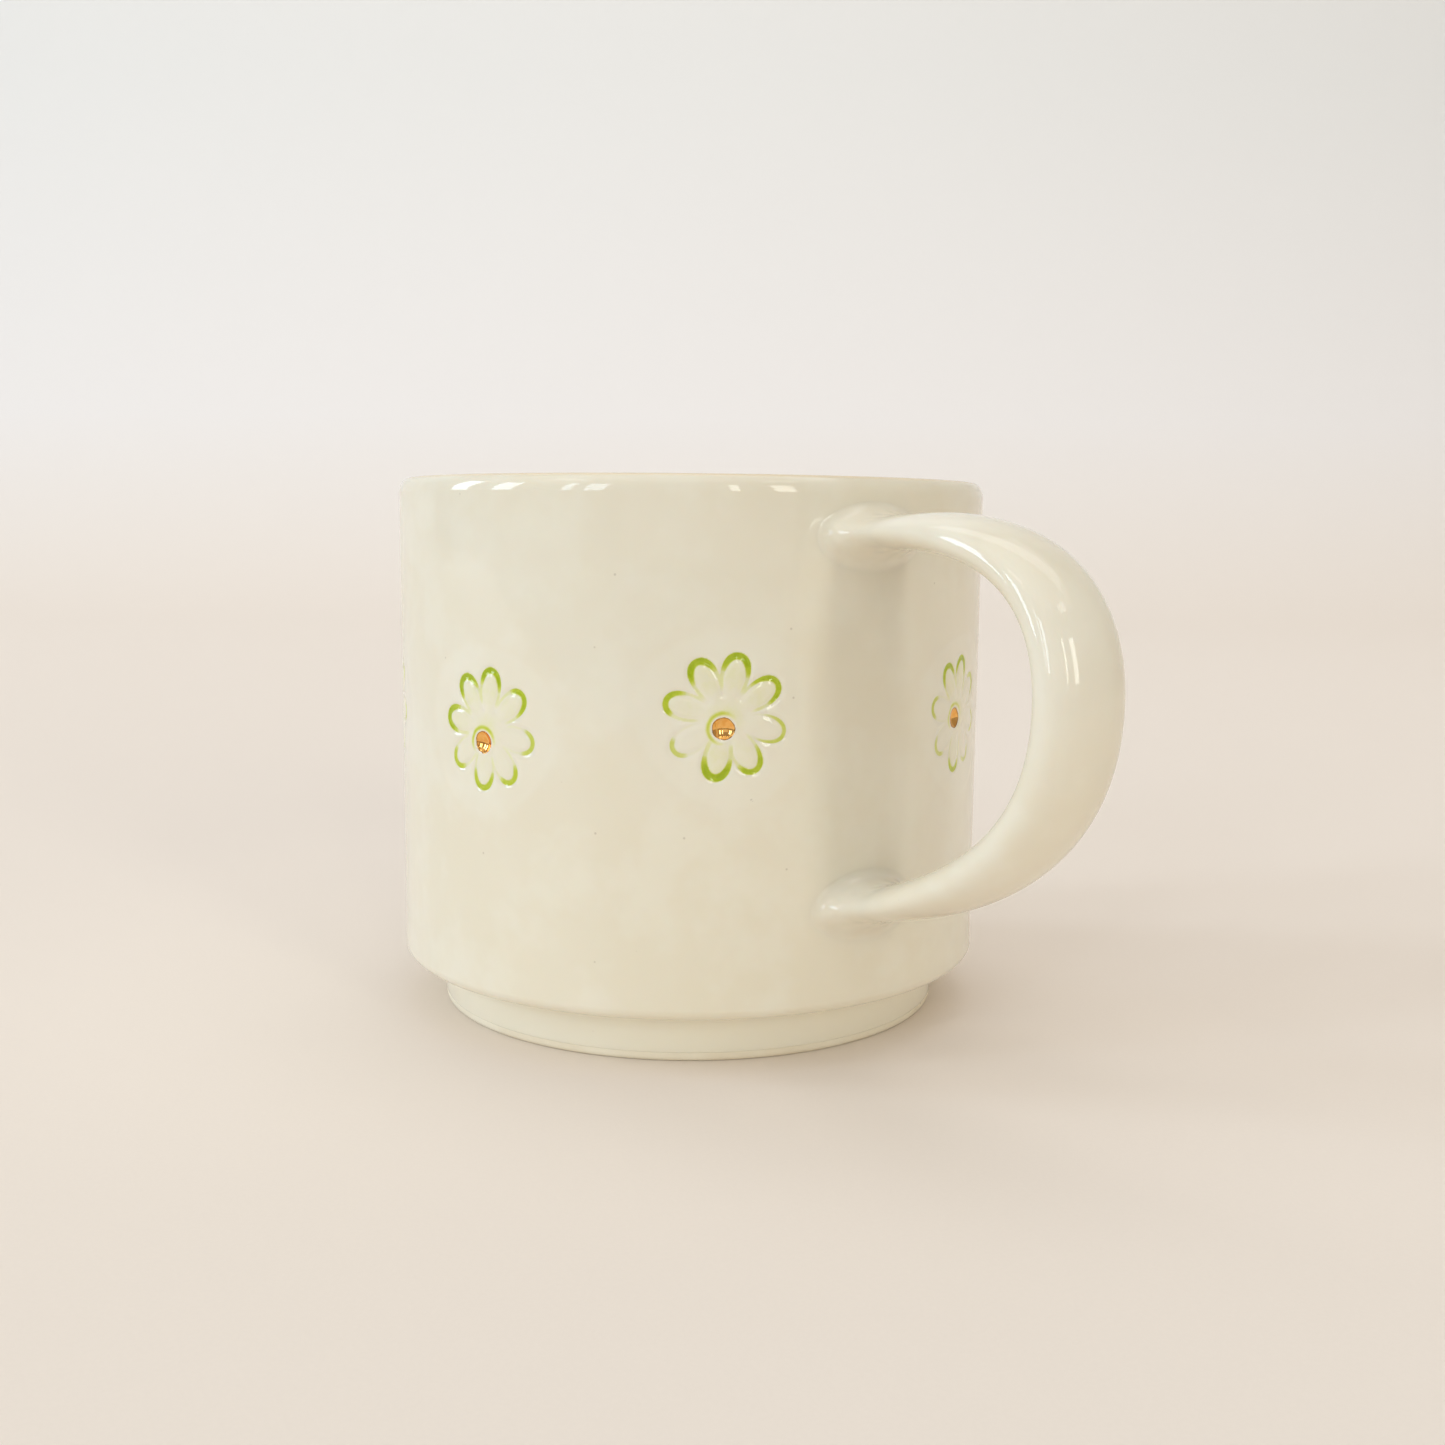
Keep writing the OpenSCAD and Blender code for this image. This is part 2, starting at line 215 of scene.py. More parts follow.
def make_flowers():
    """Each flower's place on the wall, taken from its gold centre in the frame, and its marks."""
    flowers = []
    for number, (turn, drop, shift, ring, ring_turn) in STAMPS.items():
        low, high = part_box(f"flower_{number}_gold")
        middle = (low + high) / 2 / MM
        turns = [math.radians(turn + 360 / PETALS * i + PETAL_TURNS[i]) for i in range(PETALS)]
        flowers.append({
            "number": number,
            "angle": math.atan2(middle.y, middle.x) - shift / CUP_R,
            "z": middle.z + drop,
            "dot": (shift, -drop),
            "turns": turns,
            "paint": PAINT.get(number) or random_paint(),
            "ring": ring,
            "ring_turn": math.radians(ring_turn),
            "phase": rng.uniform(0, 2 * math.pi),
        })
    return flowers


FLOWERS = make_flowers()


def petal_side():
    """The points of one side of a petal's line, and the place of each from 0 (tip) to 1."""
    t = np.linspace(0, 1, PETAL_STEPS + 1)[:, None]
    p0, p1, p2, p3 = PETAL_BEZIER
    points = (1 - t) ** 3 * p0 + 3 * (1 - t) ** 2 * t * p1 + 3 * (1 - t) * t ** 2 * p2 + t ** 3 * p3
    run = np.concatenate([[0], np.cumsum(np.hypot(*np.diff(points, axis=0).T))])
    return points, run / run[-1]


SIDE_POINTS, SIDE_PLACES = petal_side()


def petal_distance(x, y):
    """For points with y along a petal: the distance from its line, outside positive, and the
    place along it from -1, the end of the left flank, by 0, the tip, to 1."""
    side = np.abs(x)
    best = np.full(x.shape, math.inf)
    outside = np.ones(x.shape)
    place = np.ones(x.shape)
    for k in range(PETAL_STEPS):
        start = SIDE_POINTS[k]
        step = SIDE_POINTS[k + 1] - start
        length = math.hypot(*step)
        along = ((side - start[0]) * step[0] + (y - start[1]) * step[1]) / length ** 2
        along = np.clip(along, 0, 1)
        gap_x = side - start[0] - along * step[0]
        gap_y = y - start[1] - along * step[1]
        gap = np.hypot(gap_x, gap_y)
        nearer = gap < best
        best = np.where(nearer, gap, best)
        here_outside = np.where(gap_y * step[0] - gap_x * step[1] > 0, 1.0, -1.0)
        outside = np.where(nearer, here_outside, outside)
        here = SIDE_PLACES[k] + along * (SIDE_PLACES[k + 1] - SIDE_PLACES[k])
        place = np.where(nearer, here, place)
    return best * outside, np.copysign(place, x)


def petal_points(places, offsets):
    """The (x, y) points at places along a petal's line, moved outwards by offsets."""
    far = np.abs(places)
    slopes = np.gradient(SIDE_POINTS, axis=0)
    slopes /= np.hypot(*slopes.T)[:, None]
    columns = (*SIDE_POINTS.T, *slopes.T)
    x, y, slope_x, slope_y = (np.interp(far, SIDE_PLACES, column) for column in columns)
    return np.copysign(x - offsets * slope_y, places), y + offsets * slope_x


def petal_marks(x, y, petal):
    """The depth and the green of one petal at points with y along it."""
    strength, width, left, right = petal
    off, place = petal_distance(x, y)
    far = np.abs(place)
    press = (PRESS_DEPTH + PRESS_MORE * strength) * (1 - 0.5 * smooth(0.3, 1.0, far))
    depth = press * np.exp(-(off / PRESS_HALF_W) ** 2)
    fade = 1 - smooth(0.45, 1.0, far / np.where(place < 0, left, right))
    fade = np.maximum(fade, FAINT_GREEN * (1 - smooth(0.75, 1.0, far)))
    half = width / 2 * (1 - 0.4 * smooth(0.15, 0.6, far))
    outer = 1 - smooth(half - 0.07, half + 0.07, off)
    inner = 1 - smooth(half - 0.12, half + 0.14, -off)
    green = strength * fade * np.where(off > 0, outer, inner)
    wash = WASH_GREEN * strength * smooth(0.1, -0.6, off) * smooth(2.0, 5.0, y)
    return depth, np.maximum(green, wash)


def stamp_marks(u, v, flower):
    """How deep the stamp and the gold centre go, and how green the glaze is from 0 to 1, at
    points (u, v) from the flower's middle."""
    depth = np.zeros(u.shape)
    green = np.zeros(u.shape)
    reach_x = PETAL_BEZIER[:, 0].max() + PETAL_NEAR
    reach_y = PETAL_BEZIER[:, 1].max() + PETAL_NEAR
    for turn, petal in zip(flower["turns"], flower["paint"]):
        x = u * math.cos(turn) + v * math.sin(turn)
        y = v * math.cos(turn) - u * math.sin(turn)
        near = (np.abs(x) < reach_x) & (y > 0.5) & (y < reach_y)
        petal_depth, petal_green = petal_marks(x[near], y[near], petal)
        depth[near] = np.maximum(depth[near], petal_depth)
        green[near] = np.maximum(green[near], petal_green)
    du, dv = flower["dot"]
    out = np.hypot(u - du, v - dv)
    rim = math.sqrt(DOT_BALL_R ** 2 - DOT_R ** 2)
    ball = np.sqrt(np.maximum(DOT_BALL_R ** 2 - out ** 2, 0)) - rim
    pressed = DOT_EASE * np.logaddexp(0, ball / DOT_EASE)
    depth = np.maximum(depth * smooth(DOT_R, DOT_R + 0.6, out), pressed)
    round_dot = np.arctan2(v - dv, u - du) - flower["ring_turn"]
    ring = np.exp(-((out - DOT_R - RING_OUT) / RING_HALF_W) ** 2) * smooth(-0.7, 0.9, np.cos(round_dot))
    core = CORE_GREEN * np.exp(-(np.hypot(u, v) / CORE_R) ** 2)
    green = np.maximum(green, flower["ring"] * ring) + core
    return depth, np.clip(green * smooth(DOT_R, DOT_R + 0.3, out), 0, 1)


def from_flower(angle, z, flower):
    """(u, v) of points on the wall, measured from a flower's middle."""
    turn = (angle - flower["angle"] + math.pi) % (2 * math.pi) - math.pi
    return turn * CUP_R, z - flower["z"]


# ---- the wall's surface ----
# Slow waves: how many go round the cup, their pitch up the wall, and their phase
WAVES = [(int(rng.integers(1, 7)), 2 * math.pi / rng.uniform(28, 110), rng.uniform(0, 2 * math.pi))
         for _ in range(9)]
WAVE_DEPTH = 0.008
# How far the smoothed round of a flower lies below the wall.
HALO_SINK = 0.035
# The wall's grid: columns at each flower and between two of them, and the rows' spacing there
FLOWER_COLUMNS, GAP_COLUMNS, FLOWER_ROW = 124, 18, 0.15
# How far the fine grid reaches beyond the petals sideways, and from a flower's middle upwards
GRID_MARGIN, GRID_REACH = 1.2, 10


def wall_sink(angle, z):
    """How far the wall lies inside its true round: the slow unevenness of a hand-finished cup."""
    total = np.zeros(np.broadcast(angle, z).shape)
    for turns, pitch, phase in WAVES:
        total = total + WAVE_DEPTH * (1 + np.cos(turns * angle + pitch * z + phase))
    return total


def wall_values(angle, z):
    """The wall's sink with its stamps, how green it is, and the smoothed round of each flower."""
    sink = wall_sink(angle, z)
    green = np.zeros_like(sink)
    halo = np.zeros_like(sink)
    for flower in FLOWERS:
        u, v = from_flower(angle, z, flower)
        near = np.hypot(u, v) < HALO_R + 2
        un, vn = u[near], v[near]
        depth, paint = stamp_marks(un, vn, flower)
        sink[near] += depth
        green[near] = np.maximum(green[near], paint)
        wobble = HALO_WOBBLE * np.cos(3 * np.arctan2(vn, un) + flower["phase"])
        inside = 1 - smooth(HALO_R - HALO_EDGE, HALO_R, np.hypot(un, vn) + wobble)
        halo[near] = np.maximum(halo[near], inside)
    sink += HALO_SINK * halo
    return sink, green, halo


def wall_angles():
    """The angles of the wall's columns, close together at the flowers."""
    half = (PETAL_BEZIER[0, 1] + GRID_MARGIN) / CUP_R
    centres = sorted(f["angle"] % (2 * math.pi) for f in FLOWERS)
    angles = []
    for here, after in zip(centres, centres[1:] + [centres[0] + 2 * math.pi]):
        angles.append(np.linspace(here - half, here + half, FLOWER_COLUMNS, endpoint=False))
        angles.append(np.linspace(here + half, after - half, GAP_COLUMNS, endpoint=False))
    return np.concatenate(angles)


ANGLES = wall_angles()
FLOWER_LOW = min(f["z"] for f in FLOWERS) - GRID_REACH
FLOWER_HIGH = max(f["z"] for f in FLOWERS) + GRID_REACH


# ---- pieces of the cup ----
def outside_profile():
    """The glazed outside from the bare foot to the middle of the lip, as (r, z)."""
    shoulder_z = FOOT_H + SHOULDER_R
    lip_z = CUP_H - LIP_TALL
    foot_top = FOOT_H - COVE_R
    edge = 0.25
    points = arc(FOOT_R - edge, BARE_H + edge, edge, -90, 0, 4)
    points += line((FOOT_R, BARE_H + edge), (FOOT_R, foot_top), 8)
    points += arc(FOOT_R + COVE_R, foot_top, COVE_R, 180, 90, 10)
    points += line((FOOT_R + COVE_R, FOOT_H), (CUP_R - SHOULDER_R, FOOT_H), 5)
    points += arc(CUP_R - SHOULDER_R, shoulder_z, SHOULDER_R, -90, 0, 14)
    points += line((CUP_R, shoulder_z), (CUP_R, FLOWER_LOW), 24)
    points += [(CUP_R, FLOWER_LOW)]
    fine_rows = int((FLOWER_HIGH - FLOWER_LOW) / FLOWER_ROW)
    points += line((CUP_R, FLOWER_LOW), (CUP_R, FLOWER_HIGH), fine_rows)
    points += [(CUP_R, FLOWER_HIGH)]
    points += line((CUP_R, FLOWER_HIGH), (CUP_R, lip_z), 18)
    lip = arc(0, 0, 1, 0, 90, 18)
    points += [(CUP_R - LIP_OUTER_R + LIP_OUTER_R * x, lip_z + LIP_TALL * y) for x, y in lip]
    points += [(LIP_R, CUP_H)]
    return np.array(points)


def inside_profile():
    """The glazed inside from the middle of the lip to the middle of the floor."""
    points = [(LIP_R, CUP_H)]
    points += arc(INNER_R + LIP_INNER_R, CUP_H - LIP_INNER_R, LIP_INNER_R, 90, 180, 14)
    points += line((INNER_R, CUP_H - LIP_INNER_R), (INNER_R, FLOOR_Z + INSIDE_CORNER_R), 30)
    points += arc(INNER_R - INSIDE_CORNER_R, FLOOR_Z + INSIDE_CORNER_R, INSIDE_CORNER_R, 0, -90, 16)
    points += line((INNER_R - INSIDE_CORNER_R, FLOOR_Z), (0, FLOOR_Z), 8)
    return np.array(points)


def outside_coat():
    """The clear glaze on the outside, with the flowers pressed into it."""
    front = outside_profile()
    back_r = CUP_R - STAMPED_COAT_T
    back = np.array([
        (LIP_R, CUP_H - GLAZE_T), (CUP_R - LIP_OUTER_R, CUP_H - GLAZE_T),
        (back_r, CUP_H - LIP_OUTER_R - GLAZE_T), (back_r, FOOT_H + SHOULDER_R),
        (CUP_R - SHOULDER_R, FOOT_H + GLAZE_T), (FOOT_R - GLAZE_T, FOOT_H + GLAZE_T),
        (FOOT_R - GLAZE_T, BARE_H + GLAZE_T)])
    angle, z = np.meshgrid(ANGLES, front[:, 1])
    sink, green, halo = wall_values(angle, z)
    on_wall = smooth(FOOT_H, FOOT_H + 3 * SHOULDER_R, z) * smooth(CUP_H, CUP_H - 3 * LIP_TALL, z)
    r = front[:, 0][:, None] - sink * on_wall
    back_angle, back_z = np.meshgrid(ANGLES, back[:, 1])
    back_points = polar(np.repeat(back[:, 0][:, None], len(ANGLES), 1), back_angle, back_z)
    points = np.concatenate([polar(r, angle, z).reshape(-1, 3), back_points.reshape(-1, 3)])
    spare = np.zeros(len(back) * len(ANGLES))
    top_ring = np.arange(len(ANGLES)) + (len(front) - 1) * len(ANGLES)
    return new_object(
        "outside_coat", points, [cells(len(front) + len(back), len(ANGLES), closed=True)],
        {"green": np.append(green.ravel(), spare), "halo": np.append(halo.ravel(), spare)},
        (top_ring, [(0, 0, 1)] * len(ANGLES)))


def inside_coat():
    """The clear glaze on the inside: the skin that shows, and its back against the clay."""
    front = inside_profile()
    count = len(ANGLES)
    deep = FLOOR_Z - GLAZE_T
    back = np.array([
        (INNER_R - INSIDE_CORNER_R, deep), (INNER_R + GLAZE_T, FLOOR_Z + INSIDE_CORNER_R),
        (INNER_R + GLAZE_T, CUP_H - LIP_INNER_R), (INNER_R + LIP_INNER_R, CUP_H - GLAZE_T),
        (LIP_R, CUP_H - GLAZE_T)])
    rows = np.concatenate([front, back])
    angle, z = np.meshgrid(ANGLES, rows[:, 1])
    points = polar(np.repeat(rows[:, 0][:, None], count, 1), angle, z).reshape(-1, 3)
    points = np.concatenate([points, [(0, 0, FLOOR_Z), (0, 0, deep)]])
    shown = len(front) * count
    faces = [
        cells(len(front), count),
        fan(len(points) - 2, np.arange(count) + shown - count),
        fan(len(points) - 1, np.arange(count) + shown, flip=True),
        cells(len(back), count, first=shown)]
    last = np.arange(count) + (len(rows) - 1) * count
    first = np.arange(count)
    faces.append(np.stack([last, np.roll(last, -1), np.roll(first, -1), first], -1))
    return new_object("inside_coat", points, faces, None, (first, [(0, 0, 1)] * count))


def clay_cup():
    """The fired clay under the glaze. It shows only where the foot is bare."""
    inner_foot = FOOT_R - FOOT_W
    clay_foot = FOOT_R - 0.12
    under_glaze = clay_foot - GLAZE_T
    step_z = FOOT_H + 0.4
    edge = FOOT_EDGE_R
    wall_r = CUP_R - STAMPED_COAT_T - CLEARANCE
    inside_r = INNER_R + GLAZE_T + CLEARANCE
    floor = FLOOR_Z - GLAZE_T - CLEARANCE
    lip_z = CUP_H - GLAZE_T - CLEARANCE
    rows = line((0, RECESS_H), (inner_foot, RECESS_H), 10)
    rows += arc(inner_foot - edge, RECESS_H - edge, edge, 90, 0, 5)
    rows += arc(inner_foot + edge, edge, edge, 180, 270, 6)
    rows += line((inner_foot + edge, 0), (clay_foot - edge, 0), 6)
    rows += arc(clay_foot - edge, edge, edge, -90, 0, 8)
    rows += [(clay_foot, BARE_H + 0.6), (under_glaze, BARE_H + 0.7)]
    rows += [(under_glaze, step_z), (CUP_R - SHOULDER_R, step_z)]
    rows += [(wall_r, FOOT_H + SHOULDER_R), (wall_r, CUP_H - LIP_OUTER_R - GLAZE_T)]
    rows += [(CUP_R - LIP_OUTER_R, lip_z), (INNER_R + LIP_INNER_R, lip_z)]
    rows += [(inside_r, CUP_H - LIP_INNER_R), (inside_r, FLOOR_Z + INSIDE_CORNER_R)]
    rows += [(INNER_R - INSIDE_CORNER_R, floor)]
    rows = np.array(rows)
    count = 240
    angle, z = np.meshgrid(np.linspace(0, 2 * math.pi, count, endpoint=False), rows[:, 1])
    points = polar(np.repeat(rows[:, 0][:, None], count, 1), angle, z).reshape(-1, 3)
    points = np.concatenate([points, [(0, 0, RECESS_H), (0, 0, floor)]])
    total = len(rows) * count
    faces = [
        cells(len(rows), count),
        fan(total, np.arange(count), flip=True),
        fan(total + 1, np.arange(count) + total - count)]
    return new_object("clay_cup", points, faces)


# ---- the handle ----
def handle_ends(upper):
    """The four points, (x, z), of the curve that the handle follows from a root to its widest."""
    reach_x = HANDLE_REACH - GRIP_HALF_T - 0.05
    if upper:
        lean = math.radians(UPPER_RISE)
        root = (ROOT_X, UPPER_Z)
        return np.array([root, (ROOT_X + UPPER_RUN * math.cos(lean), UPPER_Z + UPPER_RUN * math.sin(lean)),
                         (reach_x, REACH_Z + ABOVE_RUN), (reach_x, REACH_Z)])
    lean = math.radians(LOWER_RISE)
    root = (ROOT_X, LOWER_Z)
    return np.array([root, (ROOT_X + LOWER_RUN * math.cos(lean), LOWER_Z + LOWER_RUN * math.sin(lean)),
                     (reach_x, REACH_Z - BELOW_RUN), (reach_x, REACH_Z)])


def handle_surface(upper, t, turn, swell):
    """Points of the handle's skin: t from 0 at the root to 1 at the widest, turn round its
    section from the outer side, and swell beyond its own size."""
    p0, p1, p2, p3 = handle_ends(upper)
    s = np.clip(t, 0, 1)[..., None]
    centre = (1 - s) ** 3 * p0 + 3 * (1 - s) ** 2 * s * p1 + 3 * (1 - s) * s ** 2 * p2 + s ** 3 * p3
    slope = 3 * (1 - s) ** 2 * (p1 - p0) + 6 * (1 - s) * s * (p2 - p1) + 3 * s ** 2 * (p3 - p2)
    before = np.minimum(t, 0)[..., None]
    centre = centre + before * 3 * (p1 - p0)
    slope = slope / np.linalg.norm(slope, axis=-1, keepdims=True)
    out = np.stack([-slope[..., 1], slope[..., 0]], -1) * (1 if upper else -1)
    grow = np.sin(np.clip(t, 0, 1) * math.pi / 2)
    half_t = ROOT_HALF_T + (GRIP_HALF_T - ROOT_HALF_T) * grow + swell
    half_w = ROOT_HALF_W + (GRIP_HALF_W - ROOT_HALF_W) * grow + swell
    across = half_t * np.cos(turn)
    return np.stack([centre[..., 0] + across * out[..., 0], half_w * np.sin(turn),
                     centre[..., 1] + across * out[..., 1]], -1)


def root_t(upper, away, turn, swell):
    """Where along the handle its skin is a given distance away from the wall's round."""
    low = np.full_like(turn, -0.4)
    high = np.full_like(turn, 0.6)
    for _ in range(40):
        middle = (low + high) / 2
        point = handle_surface(upper, middle, turn, swell)
        short = np.hypot(point[..., 0], point[..., 1]) < CUP_R + away
        low = np.where(short, middle, low)
        high = np.where(short, high, middle)
    return (low + high) / 2


HANDLE_SIDES = 96
HANDLE_TURNS = np.linspace(0, 2 * math.pi, HANDLE_SIDES, endpoint=False)


def joint_rows(upper):
    """Rings from just inside the wall to where the plain handle starts. The swelling leaves the
    wall along its surface and runs out along the handle."""
    rows = []
    for bend in np.concatenate([[-1], np.linspace(0, math.pi / 2, 20)]):
        away = JOINT_RUN * (1 - math.cos(bend)) if bend >= 0 else -JOINT_SINK
        swell = JOINT_SWELL * (1 - math.sin(bend)) if bend >= 0 else JOINT_SWELL
        point = handle_surface(upper, root_t(upper, away, HANDLE_TURNS, swell), HANDLE_TURNS, swell)
        angle = np.arctan2(point[:, 1], point[:, 0])
        shrink = wall_sink(angle, point[:, 2]) * max(0, 1 - max(away, 0) / JOINT_RUN)
        scale = 1 - shrink / np.hypot(point[:, 0], point[:, 1])
        rows.append(point * np.stack([scale, scale, np.ones_like(scale)], -1))
    return rows


def half_loop_rows(upper, steps=64):
    """Rings of the plain handle from a joint to the widest point. The first one follows the
    joint's edge, and the next ones straighten over a fifth of the way."""
    start = root_t(upper, JOINT_RUN, HANDLE_TURNS, 0.0)
    mean = float(start.mean())
    rows = []
    for t in np.linspace(mean, 1, steps):
        fade = max(0, 1 - (t - mean) / 0.2) ** 2
        rows.append(handle_surface(upper, t + (start - mean) * fade, HANDLE_TURNS, 0.0))
    return rows


def handle_pieces():
    """The loop and its two joints, cut from one continuous skin so that no seam shows."""
    upper_joint, lower_joint = joint_rows(True), joint_rows(False)
    upper_half, lower_half = half_loop_rows(True), half_loop_rows(False)
    skin = np.array(upper_joint + upper_half[1:] + lower_half[-2::-1] + lower_joint[-2::-1])
    skin = finger_marks(skin, grid_normals(skin))
    normals = grid_normals(skin)
    for at, ring in ((1, upper_joint[1]), (len(skin) - 2, lower_joint[1])):
        flat = ring * (1, 1, 0)
        normals[at] = flat / np.linalg.norm(flat, axis=-1, keepdims=True)
    cuts = {
        "upper_joint": (0, len(upper_joint)),
        "handle_loop": (len(upper_joint) - 1, len(skin) - len(lower_joint) + 1),
        "lower_joint": (len(skin) - len(lower_joint), len(skin)),
    }
    made = {}
    for name, (start, end) in cuts.items():
        made[name] = closed_tube(name, skin[start:end], normals[start:end])
    return made


def finger_marks(skin, normals):
    """The skin with the small hollows that fingers leave where they smooth the joints."""
    away = np.hypot(skin[..., 0], skin[..., 1]) - CUP_R
    strength = MARK_DEPTH * smooth(0, 1, away) * (1 - smooth(3, 7, away))
    marks = np.array([[noise.noise(Vector(point) / MARK_SIZE) for point in ring] for ring in skin])
    return skin + (strength * marks)[..., None] * normals


def grid_normals(rows):
    """The outward direction at each point of a grid of rings."""
    along = np.gradient(rows, axis=0)
    around = np.roll(rows, -1, 1) - np.roll(rows, 1, 1)
    normals = np.cross(around, along)
    normals /= np.linalg.norm(normals, axis=-1, keepdims=True)
    centre = rows.mean(1, keepdims=True)
    flip = np.sign(((rows - centre) * normals).sum(-1).mean())
    return normals * flip


def closed_tube(name, rows, normals=None, values=None):
    """A solid through rings of points, closed at both ends."""
    count, sides = rows.shape[:2]
    ends = [rows[0].mean(0), rows[-1].mean(0)]
    points = np.concatenate([rows.reshape(-1, 3), ends])
    total = count * sides
    faces = [
        cells(count, sides)[:, ::-1],
        fan(total, np.arange(sides)),
        fan(total + 1, np.arange(sides) + total - sides, flip=True)]
    fixed = None if normals is None else (np.arange(total), normals.reshape(-1, 3))
    return new_object(name, points, faces, values, fixed)


# ---- pieces of the flowers ----
def wall_point(flower, u, v, lift):
    """Points on the stamped wall at (u, v) from a flower's middle, lifted off it, and the green
    there."""
    angle = flower["angle"] + u / CUP_R
    z = flower["z"] + v
    depth, green = stamp_marks(u, v, flower)
    sink = wall_sink(angle, z) + depth + HALO_SINK
    return polar(CUP_R - sink + lift, angle, z), green


def green_lines(flower):
    """The green glaze lying in the stamped lines: one thin closed ribbon for each petal."""
    points, faces, greens = [], [], []
    total = 0
    across = np.linspace(-1, 1, 13)[None, :]
    for turn, (_, width, left, right) in zip(flower["turns"], flower["paint"]):
        places = np.linspace(-left, right, 71)[:, None]
        half = (width / 2 + 0.12) * (1 - 0.35 * smooth(0.15, 0.6, np.abs(places)))
        x, y = petal_points(places + 0 * across, half * across)
        u = x * math.cos(turn) - y * math.sin(turn)
        v = y * math.cos(turn) + x * math.sin(turn)
        end = smooth(0, 0.1, places - places[0]) * smooth(0, 0.1, places[-1] - places)
        lift = 0.02 * end * (1 - across ** 2) - 0.015 * across ** 8 - 0.015 * (1 - end)
        upper_side, green = wall_point(flower, u, v, lift)
        lower_side, _ = wall_point(flower, u, v, lift - 0.15)
        rings = np.concatenate([upper_side, lower_side[:, ::-1]], 1)
        sides = rings.shape[1]
        count = len(rings) * sides
        points.append(rings.reshape(-1, 3))
        points.append(np.array([rings[0].mean(0), rings[-1].mean(0)]))
        greens.append(np.concatenate([green, green[:, ::-1]], 1).ravel())
        greens.append(np.zeros(2))
        faces.append(cells(len(rings), sides, first=total))
        start = np.arange(sides) + total
        faces.append(fan(total + count, start, flip=True))
        faces.append(fan(total + count + 1, start + count - sides))
        total += count + 2
    return new_object(f"flower_{flower['number']}_green", np.concatenate(points), faces,
                      {"green": np.concatenate(greens)})


def gold_dot(flower):
    """The gold skin in the hollow at a flower's middle."""
    turns = np.linspace(0, 2 * math.pi, 64, endpoint=False)
    uneven = 1 + 0.03 * np.cos(2 * turns + flower["phase"]) + 0.015 * np.cos(5 * turns)
    du, dv = flower["dot"]
    parts = np.linspace(0.05, 1, 18)
    rows = []
    for part in parts:
        r = DOT_R * part * uneven
        lift = 0.035 - 0.015 * part if part < 1 else -0.02
        rows.append(wall_point(flower, du + r * np.cos(turns), dv + r * np.sin(turns), lift)[0])
    for part in parts[::-1]:
        r = DOT_R * part * uneven
        rows.append(wall_point(flower, du + r * np.cos(turns), dv + r * np.sin(turns), -0.1)[0])
    edge = np.concatenate([np.repeat(np.append(parts, parts[::-1]), len(turns)), (0, 0)])
    return closed_tube(f"flower_{flower['number']}_dot", np.array(rows), values={"edge": edge})


